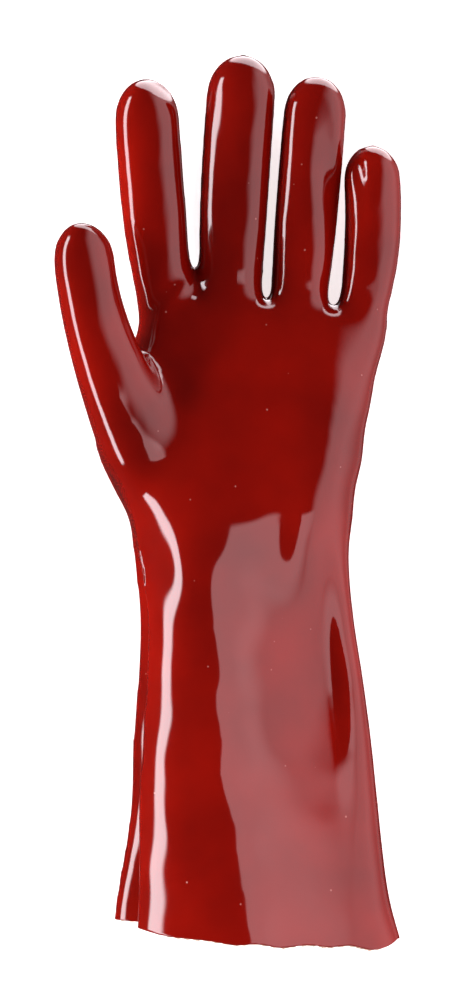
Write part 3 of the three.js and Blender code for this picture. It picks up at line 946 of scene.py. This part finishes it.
# Glowing panels, in metres: name, place, target, turn in degrees, width, height, widths of the fade at the
# left, right, bottom and top edge, strength, colour
PANELS = (
    ("cuff_panel", (0.178, -0.172, 0.30), (0.178, -0.172, 0.0), 183.0, 0.26, 0.40,
     (0.008, 0.17, 0.012, 0.035), 3.3, (1.0, 0.70, 0.73, 1)),
    ("left_strip", (-0.9, -0.05, 0.33), (0.0, -0.05, 0.03), 0.0, 1.5, 0.36,
     (0.1, 0.1, 0.08, 0.08), 12.5, (1.0, 0.95, 1.0, 1)),
)
# Fill lights to the left and right: side, height in metres, watts; their distance, width and height
FILLS = ((-1, 0.28, 16.0), (1, 0.8, 3.6))
FILL_DISTANCE, FILL_WIDTH, FILL_TALL = 1.1, 1.6, 0.6


def flat_quad(name, half_x, half_y, level, material):
    """A level rectangle round the origin, facing up, as an object."""
    mesh = bpy.data.meshes.new(name)
    corners = [(-half_x, -half_y), (half_x, -half_y), (half_x, half_y), (-half_x, half_y)]
    mesh.from_pydata([(x, y, level) for x, y in corners], [], [(0, 1, 2, 3)])
    mesh.materials.append(material)
    quad = bpy.data.objects.new(name, mesh)
    bpy.context.scene.collection.objects.link(quad)
    return quad


def fill_light(side, height, power):
    """A softbox beside the glove that faces it and shows neither in the camera nor in the skin."""
    data = bpy.data.lights.new("fill", "AREA")
    data.shape = "RECTANGLE"
    data.size, data.size_y, data.energy = FILL_WIDTH, FILL_TALL, power
    light = bpy.data.objects.new("fill", data)
    light.location = (side * FILL_DISTANCE, 0.0, height)
    light.rotation_euler = (-light.location).to_track_quat("-Z", "Y").to_euler()
    light.visible_camera = False
    light.visible_glossy = False
    bpy.context.scene.collection.objects.link(light)


def soft_panel(name, place, target, turn, across, tall, soft, strength, colour):
    """A glowing panel at a place, facing a target and turned in its own plane. The camera doesn't see it."""
    material = lit_acrylic(name, across / 2, tall / 2, soft, strength, colour)
    panel = flat_quad(name, across / 2, tall / 2, 0.0, material)
    panel.data.flip_normals()
    panel.location = place
    panel.rotation_euler = (Vector(place) - Vector(target)).to_track_quat("Z", "Y").to_euler()
    panel.rotation_euler.rotate_axis("Z", math.radians(turn))
    panel.visible_camera = False


def light_surround(scene):
    """The light from all round: the right wall's strength is one smooth step of the direction's X times one
    of its Z, and the window's a smooth step of the cosine between the direction and its own."""
    world = bpy.data.worlds.new("studio")
    scene.world = world
    world.use_nodes = True
    tree = world.node_tree
    tree.nodes.clear()
    direction = add_node(tree, "ShaderNodeTexCoord").outputs["Generated"]
    split = add_node(tree, "ShaderNodeSeparateXYZ", {"Vector": direction})
    closeness = add_node(tree, "ShaderNodeVectorMath", {
        0: direction, 1: WINDOW_DIRECTION,
    }, operation="DOT_PRODUCT")
    right, above, window = (
        add_node(tree, "ShaderNodeMapRange", {
            "Value": value, "From Min": start, "From Max": end, "To Min": low, "To Max": high,
        }, interpolation_type="SMOOTHSTEP").outputs["Result"]
        for value, (start, end), low, high in (
            (split.outputs["X"], WALL_ACROSS, 0.0, WALL_STRENGTH),
            (split.outputs["Z"], WALL_UP, WALL_LOWEST, 1.0),
            (closeness.outputs["Value"], WINDOW_RANGE, 0.0, WINDOW_STRENGTH),
        )
    )
    wall = add_node(tree, "ShaderNodeMath", {0: right, 1: above}, operation="MULTIPLY").outputs["Value"]
    base = add_node(tree, "ShaderNodeMath", {0: window, 1: DIMMEST}, operation="ADD").outputs["Value"]
    rosy = add_node(tree, "ShaderNodeBackground", {"Color": WALL_COLOUR, "Strength": wall})
    white = add_node(tree, "ShaderNodeBackground", {"Color": WINDOW_COLOUR, "Strength": base})
    both = add_node(tree, "ShaderNodeAddShader", {
        0: rosy.outputs["Background"], 1: white.outputs["Background"],
    })
    out = add_node(tree, "ShaderNodeOutputWorld")
    tree.links.new(both.outputs["Shader"], out.inputs["Surface"])


def add_camera(scene):
    """A camera straight above, whose lens makes the picture as high as named at the glove's middle height."""
    data = bpy.data.cameras.new("camera")
    data.sensor_fit = "VERTICAL"
    data.sensor_height = SENSOR
    data.lens = SENSOR * (CAMERA_HEIGHT - MID_HEIGHT) / FRAME_HEIGHT
    camera = bpy.data.objects.new("camera", data)
    camera.location = (CAMERA_X, CAMERA_Y, CAMERA_HEIGHT)
    scene.collection.objects.link(camera)
    scene.camera = camera


class GLOVE_OT_stage(bpy.types.Operator):
    """Add the floor, the lights and the camera"""

    bl_idname = "glove.stage"
    bl_label = "Stage"

    def execute(self, context):
        scene = context.scene
        # white paper and bright reflections stay white
        scene.view_settings.view_transform = "Standard"
        floor = flat_quad("floor", FLOOR_HALF, FLOOR_HALF, FLOOR_LEVEL, white_paper())
        # the skin mirrors the surround and the panels through the floor
        floor.visible_glossy = False
        light_surround(scene)
        for row in PANELS:
            soft_panel(*row)
        for row in FILLS:
            fill_light(*row)
        add_camera(scene)
        return {"FINISHED"}


class GLOVE_PT_panel(bpy.types.Panel):
    """Lists the glove's pieces"""

    bl_idname = "GLOVE_PT_panel"
    bl_label = "Glove"
    bl_space_type = "VIEW_3D"
    bl_region_type = "UI"
    bl_category = "Glove"

    def draw(self, context):
        for name in GloveSizes.__annotations__:
            self.layout.prop(context.scene.glove_sizes, name)
        for name in GloveFinish.__annotations__:
            self.layout.prop(context.scene.glove_finish, name)
        for operator in (GLOVE_OT_coating, GLOVE_OT_liner, GLOVE_OT_stage):
            self.layout.operator(operator.bl_idname)


CLASSES = (GloveSizes, GloveFinish, GLOVE_OT_coating, GLOVE_OT_liner, GLOVE_OT_stage, GLOVE_PT_panel)


def register():
    for item in CLASSES:
        bpy.utils.register_class(item)
    bpy.types.Scene.glove_sizes = PointerProperty(type=GloveSizes)
    bpy.types.Scene.glove_finish = PointerProperty(type=GloveFinish)


def unregister():
    del bpy.types.Scene.glove_sizes
    del bpy.types.Scene.glove_finish
    for item in reversed(CLASSES):
        bpy.utils.unregister_class(item)


def main():
    """Build the glove on its stage."""
    register()
    bpy.ops.glove.stage()
    bpy.ops.glove.coating()
    bpy.ops.glove.liner()


if __name__ == "__main__":
    main()
